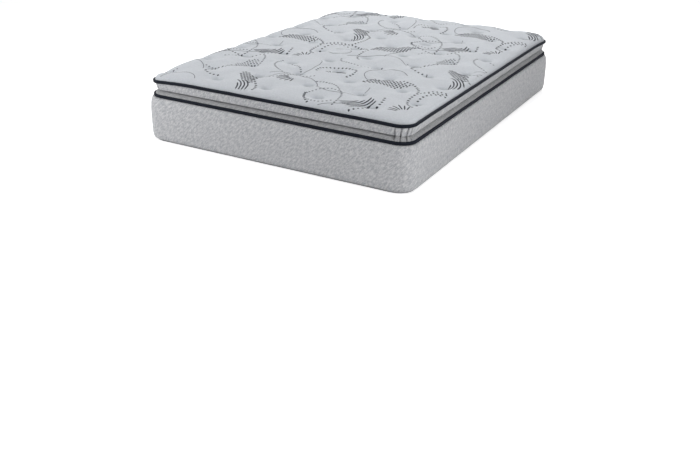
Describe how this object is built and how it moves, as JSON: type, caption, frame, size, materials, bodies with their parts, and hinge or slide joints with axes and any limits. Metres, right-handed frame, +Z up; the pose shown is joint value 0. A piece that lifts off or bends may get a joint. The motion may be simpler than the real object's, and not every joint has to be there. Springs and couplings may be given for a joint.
{
  "type": "pillow-top mattress",
  "caption": "Pillow-top mattress with a tall grey border, navy tape edges, a creased pillow layer and a crowned, tack-stitched quilted top over pocketed coils.",
  "frame": {"origin": "centre of the underside, on the surface that the mattress lies on", "axes": "+X across the bed, +Y along the bed from foot to head, +Z up"},
  "size_m": [1.372, 1.905, 0.3227],
  "materials": {
    "ticking_knit": "matte knit with a charcoal and pale grey dotted scroll pattern",
    "border_fabric": "matte grey melange woven cloth",
    "navy_tape": "woven tape, slight sheen",
    "grey_tape": "woven tape, matte",
    "tack_thread": "twisted polyester thread",
    "underside_fabric": "matte spunbond cloth",
    "base_felt": "matte needled felt",
    "rail_foam": "matte open-cell polyurethane foam",
    "comfort_foam": "matte open-cell polyurethane foam",
    "soft_foam": "matte open-cell polyurethane foam",
    "quilting_foam": "matte open-cell polyurethane foam",
    "fire_fibre": "matte fibre wadding",
    "nonwoven": "matte spunbond cloth",
    "insulator_felt": "matte needled felt",
    "pocket_cloth": "matte spunbond cloth"
  },
  "bodies": {
    "root": {"bottom_cover": "underside_fabric", "base_pad": "base_felt", "side_rail_left": "rail_foam", "side_rail_right": "rail_foam", "head_rail": "rail_foam", "foot_rail": "rail_foam", "scrim_bottom": "nonwoven", "scrim_top": "nonwoven", "insulator_pad": "insulator_felt", "comfort_foam": "comfort_foam", "deck_cloth": "nonwoven", "border_foam": "quilting_foam", "border_cover": "border_fabric", "bottom_tape": "grey_tape", "middle_tape": "navy_tape", "top_tape": "navy_tape", "gusset_band": "border_fabric", "pillow_border": "border_fabric", "pillow_base_foam": "comfort_foam", "pillow_soft_foam": "soft_foam", "quilt_backing": "nonwoven", "quilt_foam": "quilting_foam", "fire_barrier": "fire_fibre", "ticking": "ticking_knit", "tack_stitches": "tack_thread", "coil_string_01": "pocket_cloth", "coil_string_02": "pocket_cloth", "coil_string_03": "pocket_cloth", "coil_string_04": "pocket_cloth", "coil_string_05": "pocket_cloth", "coil_string_06": "pocket_cloth", "coil_string_07": "pocket_cloth", "coil_string_08": "pocket_cloth", "coil_string_09": "pocket_cloth", "coil_string_10": "pocket_cloth", "coil_string_11": "pocket_cloth", "coil_string_12": "pocket_cloth", "coil_string_13": "pocket_cloth", "coil_string_14": "pocket_cloth", "coil_string_15": "pocket_cloth", "coil_string_16": "pocket_cloth", "coil_string_17": "pocket_cloth"}
  },
  "joints": []
}
